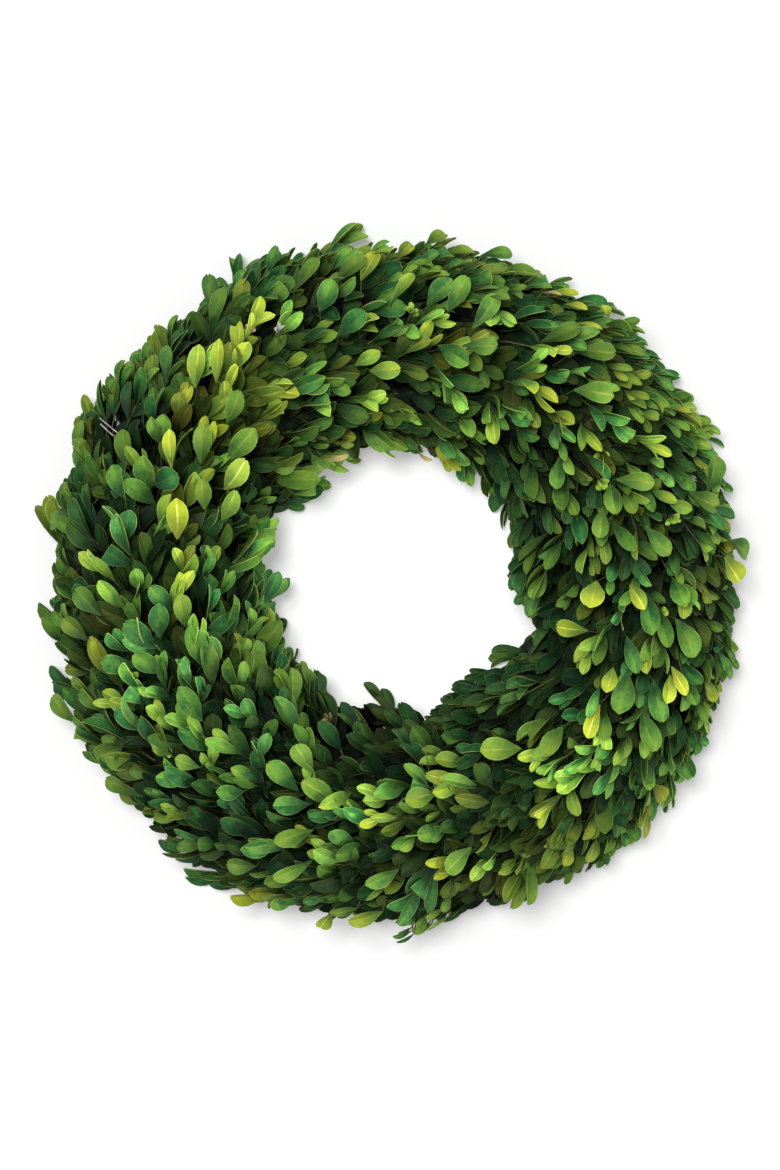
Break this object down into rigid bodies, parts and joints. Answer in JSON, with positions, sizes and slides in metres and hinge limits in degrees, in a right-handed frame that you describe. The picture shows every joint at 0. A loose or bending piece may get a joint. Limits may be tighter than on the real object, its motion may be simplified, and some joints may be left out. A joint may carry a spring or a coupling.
{
  "type": "boxwood wreath",
  "caption": "Round wreath of leafy boxwood sprigs, bound with wire to a straw ring with a flat back, open in the middle.",
  "frame": {"origin": "on the plane of the flat back, in the middle of the wreath's outline", "axes": "+Z points out of the face, away from the back; +Y is the top of the picture; the sprigs lie clockwise round +Z as seen from the front"},
  "size_m": [0.4036, 0.4032, 0.0793],
  "materials": {
    "straw": "dry, dull straw",
    "wire": "drawn, slightly dulled",
    "leaves_inner": "waxy leaf, deep green",
    "leaves_front": "waxy leaf, light green",
    "leaves_outer": "waxy leaf, green"
  },
  "bodies": {
    "root": {"straw_ring": "straw", "binding_wire": "wire", "bunch_inner_01": "leaves_inner", "bunch_inner_02": "leaves_inner", "bunch_inner_03": "leaves_inner", "bunch_inner_04": "leaves_inner", "bunch_inner_05": "leaves_inner", "bunch_inner_06": "leaves_inner", "bunch_inner_07": "leaves_inner", "bunch_inner_08": "leaves_inner", "bunch_inner_09": "leaves_inner", "bunch_inner_10": "leaves_inner", "bunch_inner_11": "leaves_inner", "bunch_inner_12": "leaves_inner", "bunch_inner_13": "leaves_inner", "bunch_inner_14": "leaves_inner", "bunch_inner_15": "leaves_inner", "bunch_inner_16": "leaves_inner", "bunch_inner_17": "leaves_inner", "bunch_front_01": "leaves_front", "bunch_front_02": "leaves_front", "bunch_front_03": "leaves_front", "bunch_front_04": "leaves_front", "bunch_front_05": "leaves_front", "bunch_front_06": "leaves_front", "bunch_front_07": "leaves_front", "bunch_front_08": "leaves_front", "bunch_front_09": "leaves_front", "bunch_front_10": "leaves_front", "bunch_front_11": "leaves_front", "bunch_front_12": "leaves_front", "bunch_front_13": "leaves_front", "bunch_front_14": "leaves_front", "bunch_front_15": "leaves_front", "bunch_front_16": "leaves_front", "bunch_front_17": "leaves_front", "bunch_outer_01": "leaves_outer", "bunch_outer_02": "leaves_outer", "bunch_outer_03": "leaves_outer", "bunch_outer_04": "leaves_outer", "bunch_outer_05": "leaves_outer", "bunch_outer_06": "leaves_outer", "bunch_outer_07": "leaves_outer", "bunch_outer_08": "leaves_outer", "bunch_outer_09": "leaves_outer", "bunch_outer_10": "leaves_outer", "bunch_outer_11": "leaves_outer", "bunch_outer_12": "leaves_outer", "bunch_outer_13": "leaves_outer", "bunch_outer_14": "leaves_outer", "bunch_outer_15": "leaves_outer", "bunch_outer_16": "leaves_outer", "bunch_outer_17": "leaves_outer"}
  },
  "joints": []
}
